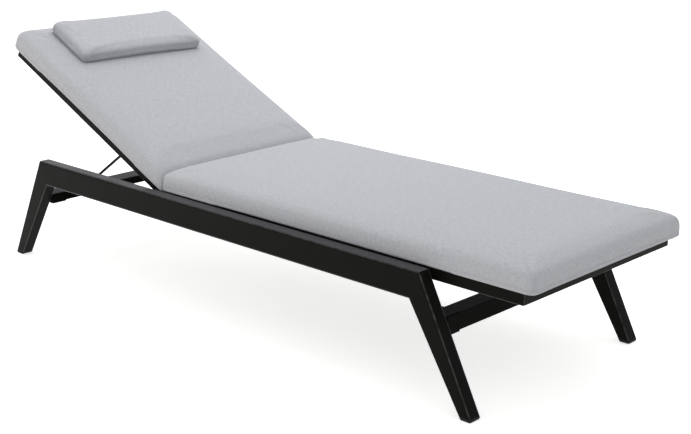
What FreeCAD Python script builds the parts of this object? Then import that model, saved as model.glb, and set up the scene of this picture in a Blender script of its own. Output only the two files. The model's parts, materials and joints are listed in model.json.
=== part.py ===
import FreeCAD, Part
import math
import os

# Relaxation lounger: two portal side frames, two cross beams, a slatted seat frame nested
# between the rails, a reclining backrest on two pivot bolts and a two-legged support
# whose feet stand on notched racks inside the rails.
# Millimetres and degrees. X runs across, Y from the foot end to the head end, Z up from
# the floor. Left and right are as seen from the foot end. Y is zero midway between the
# foot end of the seat cushion and the toes of the rear legs.

# Side frames
overall_width = 700.0
side_thickness = 40.0
rail_top = 324.0
rail_depth = 71.0
rail_length = 1502.0
mitre_setback = 29.3
leg_splay = 163.0
toe_width = 34.0
side_wall = 2.5
side_round = 6.0

# Glides under the legs
glide_height = 9.0
glide_round = 5.0
glide_plug_height = 18.0

# Cross beams and the sleeves that hold their ends
front_beam_depth = 51.0
front_beam_height = 44.0
front_beam_top = 218.0
rear_beam_depth = 65.0
rear_beam_height = 24.0
rear_beam_top = 210.5
beam_wall = 2.0
beam_round = 2.0
sleeve_length = 45.0
sleeve_wall = 3.0
beam_screw_share = 0.25

# Seat frame
seat_gap = 9.0
seat_tube_width = 20.0
seat_tube_depth = 29.5
seat_foot_reach = 259.0
seat_rear_share = 0.63582
corner_reach = 25.0
corner_round = 6.0
tube_wall = 2.0
tube_round = 2.5
inner_round_share = 0.35
slat_width = 45.0
slat_thickness = 12.0
slat_wall = 1.5
slat_round = 2.0
seat_slat_count = 9
seat_bolt_rise = 7.0
seat_bolt_shares = (0.07, 0.47, 0.93)

# Plugs in the open tube ends
plug_plate = 2.0
plug_depth = 12.0

# Backrest frame and its hinge
recline_angle = 25.4
steepest_angle = 45.0
hinge_gap = 37.0
hinge_drop = 8.6
back_tube_width = 20.0
back_tube_depth = 20.0
back_reach = 731.5
back_tail = 13.0
back_lower_bar_reach = 50.0
back_slat_count = 5

# Backrest support
support_reach_share = 0.39804
support_drop = 12.0
support_inset = 11.0
support_stand_angle = 61.05
support_rod = 8.0
support_bend = 10.0
support_bar = 10.0
ear_thickness = 5.0
ear_radius = 12.0
foot_sleeve_wall = 1.5
foot_sleeve_length = 22.0
foot_end_gap = 1.5

# Notched racks
rack_thickness = 6.0
rack_height = 17.65
rack_lift = 5.5
rack_clearance = 0.4
rack_margin = 16.0
notch_radius = 6.0
notch_depth = 5.0
rack_screw_rise = 6.0
rack_screw_shares = (0.08, 0.92)

# Fasteners: shank radius, head radius, head height
bolt_radius = 3.0
bolt_head_radius = 5.0
bolt_head_height = 4.0
pivot_radius = 4.0
pivot_head_radius = 6.5
pivot_head_height = 5.0
pivot_bush_wall = 2.0
screw_radius = 2.5
screw_head_radius = 4.0
screw_head_height = 2.5
nut_wall = 1.5
nut_flange_width = 2.0
nut_flange_height = 1.0
nut_length = 12.0
spacer_radius = 8.0
washer_radius = 9.5
thread_reach = 8.0

# Cushions: each level share is a height as a share of the thickness, then how far the
# outline lies inside the widest one there, as a share of the reach of the crown
cushion_side_gap = 1.5
cushion_thickness = 70.0
cushion_crown_reach = 110.0
cushion_foot_overhang = 31.0
cushion_fold_overhang = 18.0
cushion_head_overhang = 30.5
cushion_corner = 28.0
cushion_draw_in = 4.0
cushion_level_shares = (
    (0.0, 0.065), (0.14, 0.015), (0.42, 0.0), (0.66, 0.02),
    (0.80, 0.07), (0.90, 0.165), (0.965, 0.42), (1.0, 1.0))
corner_growth_share = 0.5

# Head pillow
pillow_side_inset = 80.5
pillow_height = 190.0
pillow_thickness = 41.0
pillow_crown_reach = 42.0
pillow_head_gap = 56.0
pillow_corner = 26.0
pillow_draw_in = 3.0
pillow_level_shares = (
    (0.0, 0.15), (0.16, 0.03), (0.40, 0.0), (0.62, 0.04), (0.80, 0.14), (0.91, 0.34), (1.0, 1.0))
grip_strip_inset = 85.0
grip_strip_width = 25.0
grip_strip_thickness = 2.0
grip_strip_shares = (0.28, 0.72)

# Clearances
fit_gap = 0.2
hole_gap = 0.25
running_gap = 0.05
rest_gap = 0.3
fold_gap = 1.5
slat_gap = 0.5
overrun = 5.0
quarter_turn = 90.0
diagonal_share = 1 - math.sqrt(2) / 2

# Places worked out from the sizes above
outer_x = overall_width / 2
inner_x = outer_x - side_thickness
rail_bottom = rail_top - rail_depth
rail_end = rail_length / 2
rail_corner = rail_end - mitre_setback
middle_y = (seat_foot_reach + cushion_foot_overhang - leg_splay) / 2
seat_x = inner_x - seat_gap
seat_inside_x = seat_x - seat_tube_width
seat_foot_y = middle_y - rail_end - seat_foot_reach
overlap_start_y = middle_y - rail_end
seat_rear_y = overlap_start_y + seat_rear_share * rail_length
seat_bottom = rail_top - seat_tube_depth
pivot_y = seat_rear_y + hinge_gap
pivot_z = rail_top - hinge_drop
support_reach = support_reach_share * (middle_y + rail_end - pivot_y)
back_inside_x = seat_x - back_tube_width
back_top = back_tube_depth / 2
cushion_half_width = inner_x - cushion_side_gap
pillow_half_width = cushion_half_width - pillow_side_inset
grip_strip_half_length = pillow_half_width - grip_strip_inset

right = FreeCAD.Vector(1, 0, 0)
headward = FreeCAD.Vector(0, 1, 0)
upward = FreeCAD.Vector(0, 0, 1)
origin = FreeCAD.Vector(0, 0, 0)

pieces = {}


def point(x, y, z):
    return FreeCAD.Vector(x, y, z)


def box(low, high):
    size = high - low
    return Part.makeBox(size.x, size.y, size.z, low)


def rod(radius, start, end):
    return Part.makeCylinder(radius, (end - start).Length, start, end - start)


def ring(outer_radius, bore_radius, start, end):
    return rod(outer_radius, start, end).cut(rod(bore_radius, start, end))


def both_sides(name, shape):
    """Right-hand piece and its mirror image."""
    pieces["right_" + name] = shape
    pieces["left_" + name] = shape.mirror(origin, right)


def group_both_sides(name, shapes):
    """One node of equal loose pieces on both sides."""
    pieces[name] = Part.makeCompound(shapes + [shape.mirror(origin, right) for shape in shapes])


# Outlines in the YZ plane

def inset_outline(points, insets):
    """Outline with each edge moved inward by its own distance; points run clockwise or not."""
    count = len(points)
    area = sum(points[i][0] * points[(i + 1) % count][1] - points[(i + 1) % count][0] * points[i][1]
               for i in range(count))
    turn = 1 if area > 0 else -1
    lines = []
    for i in range(count):
        y0, z0 = points[i]
        y1, z1 = points[(i + 1) % count]
        length = math.hypot(y1 - y0, z1 - z0)
        normal = (-(z1 - z0) / length * turn, (y1 - y0) / length * turn)
        offset = normal[0] * y0 + normal[1] * z0 + insets[i]
        lines.append((normal[0], normal[1], offset))
    moved = []
    for i in range(count):
        a0, b0, c0 = lines[i - 1]
        a1, b1, c1 = lines[i]
        determinant = a0 * b1 - a1 * b0
        moved.append(((c0 * b1 - c1 * b0) / determinant, (a0 * c1 - a1 * c0) / determinant))
    return moved


def prism(points, low_x, high_x):
    """Solid between two planes across the lounger, on an outline of (y, z) points."""
    corners = [point(low_x, y, z) for y, z in points]
    face = Part.Face(Part.makePolygon(corners + corners[:1]))
    return face.extrude(right * (high_x - low_x))


def long_edges(shape, points, kept, low_x, high_x):
    """Edges of a prism that lie on the kept sides of its outline, on both faces."""
    found = []
    for i in kept:
        y0, z0 = points[i]
        y1, z1 = points[(i + 1) % len(points)]
        for x in (low_x, high_x):
            middle = point(x, (y0 + y1) / 2, (z0 + z1) / 2)
            found.append(min(shape.Edges, key=lambda edge: (edge.CenterOfMass - middle).Length))
    return found


def side_tube(points, walled):
    """Hollow side-frame member: the walled sides are closed, the others are open."""
    solid = prism(points, inner_x, outer_x)
    solid = solid.makeFillet(side_round, long_edges(solid, points, walled, inner_x, outer_x))
    insets = [side_wall if i in walled else -overrun for i in range(len(points))]
    hollow = prism(inset_outline(points, insets), inner_x + side_wall, outer_x - side_wall)
    return solid.cut(hollow)


# Tubes with a rounded rectangular section

def section_wire(width, height, rounding):
    """Rounded rectangle about the origin in the XZ plane."""
    a = width / 2
    b = height / 2
    r = rounding
    bevel = r * diagonal_share
    corners = ((1, 1), (-1, 1), (-1, -1), (1, -1))
    edges = []
    for i, (p, q) in enumerate(corners):
        start = point(p * a, 0, q * (b - r))
        end = point(p * (a - r), 0, q * b)
        middle = point(p * (a - bevel), 0, q * (b - bevel))
        if i % 2:
            start, end = end, start
        edges.append(Part.Arc(start, middle, end).toShape())
        n, m = corners[(i + 1) % len(corners)]
        if i % 2:
            following = point(n * a, 0, m * (b - r))
        else:
            following = point(n * (a - r), 0, m * b)
        edges.append(Part.makeLine(end, following))
    return Part.Wire(edges)


def tube_section(width, height, rounding, wall):
    outer = section_wire(width, height, rounding)
    inner_rounding = max(rounding - wall, inner_round_share * rounding)
    inner = section_wire(width - 2 * wall, height - 2 * wall, inner_rounding)
    return Part.Face(outer).cut(Part.Face(inner)).Faces[0]


def tube_along_y(section, x, y0, y1, z):
    start = section.translated(point(x, y0, z))
    return start.extrude(headward * (y1 - y0))


def tube_along_x(section, x0, x1, y, z):
    turned = section.rotated(origin, upward, -quarter_turn)
    return turned.translated(point(x0, y, z)).extrude(right * (x1 - x0))


def corner_block(corner_x, corner_y, end_sign, reach, width, rounding, low_z, high_z):
    """Solid L in plan with its outer edge rounded; end_sign is -1 at the foot, 1 at the head."""
    bevel = rounding * diagonal_share
    plan = [(0, reach), (0, rounding), (bevel, bevel), (rounding, 0), (reach, 0),
            (reach, width), (width, width), (width, reach)]
    places = [point(corner_x - across, corner_y - end_sign * back, low_z) for across, back in plan]
    bend = Part.Arc(places[1], places[2], places[3]).toShape()
    edges = [Part.makeLine(places[0], places[1]), bend]
    for start, end in zip(places[3:], places[4:] + places[:1]):
        edges.append(Part.makeLine(start, end))
    return Part.Face(Part.Wire(edges)).extrude(upward * (high_z - low_z))


def corner(corner_x, corner_y, end_sign, tube_width, tube_depth, z):
    """Mitred right-hand corner between two tubes, hollow as they are."""
    low_z = z - tube_depth / 2
    high_z = z + tube_depth / 2
    block = corner_block(corner_x, corner_y, end_sign, corner_reach, tube_width, corner_round, low_z, high_z)
    start_y = corner_y - end_sign * corner_reach
    start_x = corner_x - corner_reach
    long_ones = [edge for edge in block.Edges
                 if edge.BoundBox.ZLength < fit_gap
                 and abs(edge.CenterOfMass.y - start_y) > fit_gap
                 and abs(edge.CenterOfMass.x - start_x) > fit_gap]
    block = block.makeFillet(tube_round, long_ones)
    hollow = corner_block(corner_x - tube_wall, corner_y - end_sign * tube_wall, end_sign,
                          corner_reach + overrun, tube_width - 2 * tube_wall, corner_round - tube_wall,
                          low_z + tube_wall, high_z - tube_wall)
    return block.cut(hollow)


# Soft forms

def cushion_wire(half_width, near_end, far_end, height, corner, draw_in):
    """Closed outline at one level, with its four sides drawn in between the corners."""
    middle_end = (near_end + far_end) / 2
    diagonal = corner * diagonal_share
    x = half_width
    ring_points = (
        (x, near_end + corner), (x - draw_in, middle_end), (x, far_end - corner),
        (x - diagonal, far_end - diagonal), (x - corner, far_end), (0, far_end - draw_in),
        (corner - x, far_end), (diagonal - x, far_end - diagonal), (-x, far_end - corner),
        (draw_in - x, middle_end), (-x, near_end + corner), (diagonal - x, near_end + diagonal),
        (corner - x, near_end), (0, near_end + draw_in), (x - corner, near_end),
        (x - diagonal, near_end + diagonal),
    )
    places = [point(px, py, height) for px, py in ring_points]
    edges = []
    for i in range(0, len(places), 2):
        edges.append(Part.Arc(places[i], places[i + 1], places[(i + 2) % len(places)]).toShape())
    return Part.Wire(edges)


def cushion(half_width, start_at, far_end, base, thickness, crown_reach, level_shares, corner, draw_in):
    """Crowned cushion lofted through its levels; start_at gives its near end by height."""
    wires = []
    for height_share, inset_share in level_shares:
        height = base + thickness * height_share
        inset = crown_reach * inset_share
        wires.append(cushion_wire(half_width - inset, start_at(height) + inset, far_end - inset,
                                  height, corner + corner_growth_share * inset, draw_in))
    return Part.makeLoft(wires, True, True)


# Fasteners along X, head towards the middle of the lounger

def headed_bolt(radius, head_radius, head_height, head_x, length, y, z):
    head = rod(head_radius, point(head_x - head_height, y, z), point(head_x, y, z))
    shank = rod(radius, point(head_x, y, z), point(head_x + length, y, z))
    return head.fuse(shank).removeSplitter()


def rivet_nut(radius, y, z):
    """Blind nut in the inner wall of a rail, with its flange in the gap."""
    bore = radius + running_gap
    body = ring(bore + nut_wall, bore, point(inner_x, y, z), point(inner_x + nut_length, y, z))
    flange = ring(bore + nut_wall + nut_flange_width, bore,
                  point(inner_x - nut_flange_height, y, z), point(inner_x, y, z))
    return body.fuse(flange).removeSplitter()


def nut_hole(radius, y, z):
    hole_radius = radius + running_gap + nut_wall + hole_gap
    return rod(hole_radius, point(inner_x - overrun, y, z),
               point(inner_x + side_wall + overrun, y, z))


def leg_outer(z):
    """Distance of a leg's outer edge from the frame's middle at one height."""
    return rail_end + leg_splay * (rail_top - z) / rail_top


def leg_inner(z):
    toe = rail_end + leg_splay - toe_width
    return rail_corner + (toe - rail_corner) * (rail_bottom - z) / rail_bottom


def lean(shape):
    """From the level backrest, with its hinge at zero, to its place at rest."""
    leaned = shape.rotated(origin, right, recline_angle)
    return leaned.translated(point(0, pivot_y, pivot_z))


def support_head(angle):
    """Where the support hangs from the backrest at one backrest angle."""
    turn = math.radians(angle)
    y = pivot_y + support_reach * math.cos(turn) + support_drop * math.sin(turn)
    z = pivot_z + support_reach * math.sin(turn) - support_drop * math.cos(turn)
    return y, z


foot_radius = support_rod / 2 + running_gap + foot_sleeve_wall
rack_bottom = rail_bottom + rack_lift
rack_top = rack_bottom + rack_height
foot_z = rack_top + rack_clearance + foot_radius
steepest_head_y, steepest_head_z = support_head(steepest_angle)
support_length = (steepest_head_z - foot_z) / math.sin(math.radians(support_stand_angle))


def support_foot_y(angle):
    """Where the support's foot stands on the rack at one backrest angle."""
    head_y, head_z = support_head(angle)
    return head_y + math.sqrt(support_length ** 2 - (head_z - foot_z) ** 2)


support_head_y, support_head_z = support_head(recline_angle)
foot_y = support_foot_y(recline_angle)

seat_bolt_z = seat_bottom + seat_bolt_rise
seat_bolt_ys = [overlap_start_y + share * (seat_rear_y - overlap_start_y) for share in seat_bolt_shares]

notch_angles = (recline_angle / 2, recline_angle, (recline_angle + steepest_angle) / 2, steepest_angle)
notch_ys = [support_foot_y(angle) for angle in notch_angles]
rack_front_y = min(notch_ys) - rack_margin
rack_rear_y = support_foot_y(0) + rack_margin
rack_screw_z = rack_bottom + rack_screw_rise
rack_screw_ys = [rack_front_y + share * (rack_rear_y - rack_front_y) for share in rack_screw_shares]


def side_frames():
    rail_points = [(rail_end, rail_top), (rail_corner, rail_bottom),
                   (-rail_corner, rail_bottom), (-rail_end, rail_top)]
    rail = side_tube(rail_points, (1, 3)).translated(headward * middle_y)
    for y in seat_bolt_ys:
        rail = rail.cut(nut_hole(bolt_radius, y, seat_bolt_z))
    rail = rail.cut(nut_hole(pivot_radius, pivot_y, pivot_z))
    for y in rack_screw_ys:
        rail = rail.cut(rod(screw_radius + hole_gap, point(inner_x - overrun, y, rack_screw_z),
                            point(inner_x + side_wall + overrun, y, rack_screw_z)))
    both_sides("rail", rail)

    leg_points = [(rail_end, rail_top), (leg_outer(glide_height), glide_height),
                  (leg_inner(glide_height), glide_height), (rail_corner, rail_bottom)]
    leg = side_tube(leg_points, (0, 2))
    glide = leg_glide()
    for end, name in ((-1, "front"), (1, "rear")):
        for shape, kind in ((leg, "leg"), (glide, "glide")):
            placed = shape if end > 0 else shape.mirror(origin, headward)
            both_sides(name + "_" + kind, placed.translated(headward * middle_y))


def leg_glide():
    foot_points = [(leg_outer(glide_height), glide_height), (leg_outer(0), 0),
                   (leg_inner(0), 0), (leg_inner(glide_height), glide_height)]
    foot = prism(foot_points, inner_x, outer_x)
    foot = foot.makeFillet(side_round, long_edges(foot, foot_points, (0, 2), inner_x, outer_x))
    sole = [edge for edge in foot.Edges if edge.BoundBox.ZMax < glide_round]
    foot = foot.makeFillet(glide_round, sole)
    plug_top = glide_height + glide_plug_height
    plug_points = [(leg_outer(plug_top), plug_top), (leg_outer(glide_height), glide_height),
                   (leg_inner(glide_height), glide_height), (leg_inner(plug_top), plug_top)]
    slack = side_wall + fit_gap
    plug = prism(inset_outline(plug_points, (slack, 0, slack, 0)),
                 inner_x + slack, outer_x - slack)
    return foot.fuse(plug).removeSplitter()


def cross_beam(name, front_y, depth, height, top):
    """Beam between a pair of legs, its two sleeves and the screws under them."""
    centre_y = front_y + depth / 2
    centre_z = top - height / 2
    section = tube_section(depth, height, beam_round, beam_wall)
    beam_end = inner_x - rest_gap
    beam = tube_along_x(section, -beam_end, beam_end, centre_y, centre_z)

    around = 2 * (fit_gap + sleeve_wall)
    sleeve_section = tube_section(depth + around, height + around, beam_round + sleeve_wall, sleeve_wall)
    sleeve = tube_along_x(sleeve_section, inner_x - sleeve_length, inner_x, centre_y, centre_z)

    head_z = top - height - fit_gap - sleeve_wall
    shank_end = head_z + sleeve_wall + fit_gap + beam_wall + thread_reach
    screw_x = inner_x - sleeve_length / 2
    screws = []
    for y in (centre_y - beam_screw_share * depth, centre_y + beam_screw_share * depth):
        head = rod(bolt_head_radius, point(screw_x, y, head_z - bolt_head_height), point(screw_x, y, head_z))
        shank = rod(bolt_radius, point(screw_x, y, head_z), point(screw_x, y, shank_end))
        screws.append(head.fuse(shank).removeSplitter())
        hole_end = point(screw_x, y, head_z + sleeve_wall + fit_gap + beam_wall + overrun)
        hole = rod(bolt_radius + hole_gap, point(screw_x, y, head_z - overrun), hole_end)
        sleeve = sleeve.cut(hole)
        beam = beam.cut(hole).cut(hole.mirror(origin, right))

    pieces[name + "_cross_beam"] = beam
    both_sides(name + "_beam_sleeve", sleeve)
    return screws


def beams():
    front_y = middle_y - leg_outer(front_beam_top)
    rear_y = middle_y + leg_inner(rear_beam_top)
    screws = cross_beam("front", front_y, front_beam_depth, front_beam_height, front_beam_top)
    screws += cross_beam("rear", rear_y, rear_beam_depth, rear_beam_height, rear_beam_top)
    group_both_sides("beam_screws", screws)


def end_plug(width, depth, y0, y1):
    """Plug with its plate from y0 to y1, reaching forward into the tube before y0."""
    plate = tube_along_y(Part.Face(section_wire(width, depth, tube_round)), 0, y0, y1, 0)
    slack = 2 * (tube_wall + fit_gap)
    inner_end = y0 - plug_depth if y1 > y0 else y0 + plug_depth
    body_face = Part.Face(section_wire(width - slack, depth - slack, inner_round_share * tube_round))
    body = tube_along_y(body_face, 0, min(y0, inner_end), max(y0, inner_end), 0)
    return plate.fuse(body).removeSplitter()


def slats(count, low_y, high_y, inside_x, top):
    section = tube_section(slat_width, slat_thickness, slat_round, slat_wall)
    pitch = (high_y - low_y) / (count + 1)
    middle_z = top - slat_thickness / 2
    return [tube_along_x(section, -inside_x, inside_x, low_y + pitch * (i + 1), middle_z)
            for i in range(count)]


def seat_frame():
    section = tube_section(seat_tube_width, seat_tube_depth, tube_round, tube_wall)
    middle_z = rail_top - seat_tube_depth / 2
    tube_x = seat_x - seat_tube_width / 2
    tube_end = seat_rear_y - plug_plate
    side = tube_along_y(section, tube_x, seat_foot_y + corner_reach, tube_end, middle_z)
    for y in seat_bolt_ys:
        side = side.cut(rod(bolt_radius + hole_gap, point(seat_inside_x - overrun, y, seat_bolt_z),
                            point(seat_x + overrun, y, seat_bolt_z)))
    both_sides("seat_side_tube", side)
    both_sides("seat_foot_corner",
               corner(seat_x, seat_foot_y, -1, seat_tube_width, seat_tube_depth, middle_z))
    foot_x = seat_x - corner_reach
    foot_tube_y = seat_foot_y + seat_tube_width / 2
    pieces["seat_foot_tube"] = tube_along_x(section, -foot_x, foot_x, foot_tube_y, middle_z)
    rear_y = tube_end - seat_tube_width / 2
    pieces["seat_rear_tube"] = tube_along_x(section, -seat_inside_x, seat_inside_x, rear_y, middle_z)
    plug = end_plug(seat_tube_width, seat_tube_depth, 0, plug_plate)
    group_both_sides("seat_tube_plugs", [plug.translated(point(tube_x, tube_end, middle_z))])
    rows = slats(seat_slat_count, seat_foot_y + seat_tube_width, rear_y - seat_tube_width / 2,
                 seat_inside_x, rail_top)
    pieces["seat_slats"] = Part.makeCompound(rows)


def seat_fixings():
    """Bolts from inside the seat frame, through spacers, into nuts in the rails."""
    bolts = []
    spacers = []
    nuts = []
    length = inner_x + thread_reach - seat_inside_x
    for y in seat_bolt_ys:
        bolts.append(headed_bolt(bolt_radius, bolt_head_radius, bolt_head_height,
                                 seat_inside_x, length, y, seat_bolt_z))
        spacers.append(ring(spacer_radius, bolt_radius + hole_gap, point(seat_x, y, seat_bolt_z),
                            point(inner_x - nut_flange_height, y, seat_bolt_z)))
        nuts.append(rivet_nut(bolt_radius, y, seat_bolt_z))
    group_both_sides("seat_bolts", bolts)
    group_both_sides("seat_spacers", spacers)
    group_both_sides("seat_rivet_nuts", nuts)


def backrest_hinge():
    """Pivot bolts held in the rails, and the bushes that turn on them."""
    head_x = back_inside_x - rest_gap
    length = inner_x + thread_reach - head_x
    both_sides("pivot_bolt", headed_bolt(pivot_radius, pivot_head_radius, pivot_head_height,
                                         head_x, length, pivot_y, pivot_z))
    group_both_sides("pivot_rivet_nuts", [rivet_nut(pivot_radius, pivot_y, pivot_z)])
    washer = ring(washer_radius, pivot_radius + running_gap, point(seat_x + rest_gap, pivot_y, pivot_z),
                  point(inner_x - nut_flange_height, pivot_y, pivot_z))
    both_sides("pivot_washer", washer)
    bore = pivot_radius + running_gap
    bush = ring(bore + pivot_bush_wall, bore, point(back_inside_x, 0, 0), point(seat_x, 0, 0))
    both_sides("pivot_bush", lean(bush))


def backrest_frame():
    section = tube_section(back_tube_width, back_tube_depth, tube_round, tube_wall)
    tube_x = seat_x - back_tube_width / 2
    tube_start = plug_plate - back_tail
    hole_radius = pivot_radius + running_gap + pivot_bush_wall + running_gap
    side = tube_along_y(section, tube_x, tube_start, back_reach - corner_reach, 0)
    side = side.cut(rod(hole_radius, point(back_inside_x - overrun, 0, 0), point(seat_x + overrun, 0, 0)))
    both_sides("back_side_tube", lean(side))
    both_sides("back_head_corner",
               lean(corner(seat_x, back_reach, 1, back_tube_width, back_tube_depth, 0)))
    head_x = seat_x - corner_reach
    pieces["back_head_tube"] = lean(
        tube_along_x(section, -head_x, head_x, back_reach - back_tube_width / 2, 0))
    pieces["back_lower_tube"] = lean(
        tube_along_x(section, -back_inside_x, back_inside_x, back_lower_bar_reach, 0))
    plug = end_plug(back_tube_width, back_tube_depth, 0, -plug_plate).translated(point(tube_x, tube_start, 0))
    short_plug = plug.cut(box(point(0, 0, -back_tube_depth) - headward * hole_radius,
                              point(outer_x, back_tube_depth, back_tube_depth)))
    group_both_sides("back_tube_plugs", [lean(short_plug)])
    rows = slats(back_slat_count, back_lower_bar_reach, back_reach - back_tube_width, back_inside_x, back_top)
    pieces["back_slats"] = Part.makeCompound([lean(row) for row in rows])


def support_ears():
    """Plates inside the backrest tubes that carry the ends of the support's cross bar."""
    top = back_top - slat_thickness - slat_gap
    low_x = back_inside_x - ear_thickness
    plate = box(point(low_x, support_reach - ear_radius, -support_drop),
                point(back_inside_x, support_reach + ear_radius, top))
    centre = point(0, support_reach, -support_drop)
    boss = rod(ear_radius, centre + right * low_x, centre + right * back_inside_x)
    boss = boss.cut(box(point(low_x, support_reach - ear_radius, top),
                        point(back_inside_x, support_reach + ear_radius, back_top)))
    plate = plate.fuse(boss).removeSplitter()
    plate = plate.cut(rod(support_bar / 2 + running_gap, centre, centre + right * outer_x))
    both_sides("support_ear", lean(plate))


def backrest_support():
    bar_x = back_inside_x - rest_gap
    arm_x = back_inside_x - support_inset
    head = point(0, support_head_y, support_head_z)
    foot = point(0, foot_y, foot_z)
    slope = (foot - head).normalize()
    pieces["support_cross_bar"] = rod(support_bar / 2, head - right * bar_x, head + right * bar_x)

    pin_x = inner_x - foot_end_gap
    bend_start = foot - slope * support_bend + right * arm_x
    bend_centre = bend_start + right * support_bend
    straight = rod(support_rod / 2, head + right * arm_x, bend_start)
    disc = Part.Face(Part.Wire(Part.makeCircle(support_rod / 2, bend_start, slope)))
    bend = disc.revolve(bend_centre, slope.cross(right) * -1, -quarter_turn)
    pin = rod(support_rod / 2, foot + right * (arm_x + support_bend), foot + right * pin_x)
    arm = straight.fuse(bend).fuse(pin).removeSplitter()
    arm = arm.cut(rod(support_bar / 2, head, head + right * outer_x))
    both_sides("support_arm", arm)

    sleeve_start = foot + right * (pin_x - foot_sleeve_length)
    sleeve = ring(foot_radius, support_rod / 2 + running_gap, sleeve_start, foot + right * pin_x)
    both_sides("support_foot_sleeve", sleeve)


def racks():
    low_x = inner_x - rack_thickness
    plate = box(point(low_x, rack_front_y, rack_bottom), point(inner_x, rack_rear_y, rack_top))
    for y in notch_ys:
        centre = point(low_x - overrun, y, rack_top - notch_depth + notch_radius)
        plate = plate.cut(rod(notch_radius, centre, centre + right * (rack_thickness + 2 * overrun)))
    screws = []
    for y in rack_screw_ys:
        plate = plate.cut(rod(screw_radius + hole_gap, point(low_x - overrun, y, rack_screw_z),
                              point(inner_x + overrun, y, rack_screw_z)))
        screws.append(headed_bolt(screw_radius, screw_head_radius, screw_head_height, low_x,
                                  rack_thickness + thread_reach, y, rack_screw_z))
    both_sides("rack", plate)
    group_both_sides("rack_screws", screws)


def fold_line(height):
    """Near end of the back cushion, upright beside the seat cushion at the steepest angle."""
    turn = math.radians(steepest_angle)
    stop = seat_rear_y + cushion_fold_overhang + fold_gap - pivot_y
    return (stop + height * math.sin(turn)) / math.cos(turn)


def cushions():
    seat_start = seat_foot_y - cushion_foot_overhang
    seat_end = seat_rear_y + cushion_fold_overhang
    pieces["seat_cushion"] = cushion(
        cushion_half_width, lambda height: seat_start, seat_end, rail_top + rest_gap,
        cushion_thickness, cushion_crown_reach, cushion_level_shares, cushion_corner, cushion_draw_in)
    back_end = back_reach + cushion_head_overhang
    back_base = back_top + rest_gap
    pieces["back_cushion"] = lean(cushion(
        cushion_half_width, fold_line, back_end, back_base,
        cushion_thickness, cushion_crown_reach, cushion_level_shares, cushion_corner, cushion_draw_in))


def head_pillow():
    """Pillow near the head end, held to the back cushion by two grip strips."""
    far_end = back_reach + cushion_head_overhang - pillow_head_gap
    start = far_end - pillow_height
    strip_base = back_top + rest_gap + cushion_thickness
    strip_top = strip_base + grip_strip_thickness
    pieces["head_pillow"] = lean(cushion(
        pillow_half_width, lambda height: start, far_end, strip_top + rest_gap,
        pillow_thickness, pillow_crown_reach, pillow_level_shares, pillow_corner, pillow_draw_in))
    strips = []
    for share in grip_strip_shares:
        y = start + share * pillow_height
        strips.append(lean(box(
            point(-grip_strip_half_length, y - grip_strip_width / 2, strip_base),
            point(grip_strip_half_length, y + grip_strip_width / 2, strip_top))))
    pieces["pillow_grip_strips"] = Part.makeCompound(strips)


side_frames()
beams()
seat_frame()
seat_fixings()
backrest_hinge()
backrest_frame()
support_ears()
backrest_support()
racks()
cushions()
head_pillow()

os.makedirs("parts", exist_ok=True)
for name, shape in pieces.items():
    shape.exportStep(os.path.join("parts", name + ".step"))
    print(name, len(shape.Solids), "valid" if shape.isValid() else "not valid")
print("nodes", len(pieces), "hinge at", pivot_y, pivot_z)
print("support pivot at", support_head_y, support_head_z, "foot at", foot_y, foot_z)
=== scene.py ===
import json
import math

import bmesh
import bpy
import numpy as np
from mathutils import Matrix, Vector
from mathutils.bvhtree import BVHTree


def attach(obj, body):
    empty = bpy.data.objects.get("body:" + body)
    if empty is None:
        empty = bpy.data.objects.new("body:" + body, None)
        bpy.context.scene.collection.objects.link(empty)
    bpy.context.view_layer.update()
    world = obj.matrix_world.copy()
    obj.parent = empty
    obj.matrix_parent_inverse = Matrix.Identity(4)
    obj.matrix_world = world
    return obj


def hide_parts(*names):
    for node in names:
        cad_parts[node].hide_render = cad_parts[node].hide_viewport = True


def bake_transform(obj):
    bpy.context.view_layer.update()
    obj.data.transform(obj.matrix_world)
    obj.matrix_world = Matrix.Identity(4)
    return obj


# Relaxation lounger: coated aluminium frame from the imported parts, cushions made here.
# Metres. X across, Y from the foot end to the head end, Z up.

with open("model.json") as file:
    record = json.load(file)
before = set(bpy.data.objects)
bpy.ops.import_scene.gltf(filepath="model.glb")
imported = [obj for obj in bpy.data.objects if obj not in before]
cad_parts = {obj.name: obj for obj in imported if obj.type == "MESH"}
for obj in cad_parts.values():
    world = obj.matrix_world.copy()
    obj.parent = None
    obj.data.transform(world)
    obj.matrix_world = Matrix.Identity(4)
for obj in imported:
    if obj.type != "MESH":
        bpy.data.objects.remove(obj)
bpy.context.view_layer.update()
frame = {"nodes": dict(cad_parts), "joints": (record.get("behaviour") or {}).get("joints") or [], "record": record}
cadNodes = frame["nodes"]
print("frame loaded:", len(cadNodes), "nodes")


# Small helpers for materials

def newMaterial(name):
    material = bpy.data.materials.new(name)
    material.use_nodes = True
    tree = material.node_tree
    shader = tree.nodes["Principled BSDF"]
    return material, tree, shader


def addNode(tree, kind, inputs=None, **settings):
    made = tree.nodes.new("ShaderNode" + kind)
    for key, value in settings.items():
        setattr(made, key, value)
    for key, value in (inputs or {}).items():
        if isinstance(value, bpy.types.NodeSocket):
            tree.links.new(value, made.inputs[key])
        else:
            made.inputs[key].default_value = value
    return made


def calc(tree, operation, a, b=0.0, c=0.0):
    return addNode(tree, "Math", {0: a, 1: b, 2: c}, operation=operation).outputs[0]


def blendColour(tree, share, a, b, kind="MIX"):
    # sockets 6, 7 and 2 are the node's colour sockets
    made = addNode(tree, "Mix", {0: share, 6: a, 7: b}, data_type="RGBA", blend_type=kind)
    return made.outputs[2]


def objectPoint(tree):
    return addNode(tree, "TexCoord").outputs["Object"]


def noiseAt(tree, place, scale, detail, roughness):
    return addNode(tree, "TexNoise", {"Vector": place, "Scale": scale, "Detail": detail,
                                      "Roughness": roughness}).outputs["Fac"]


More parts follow.
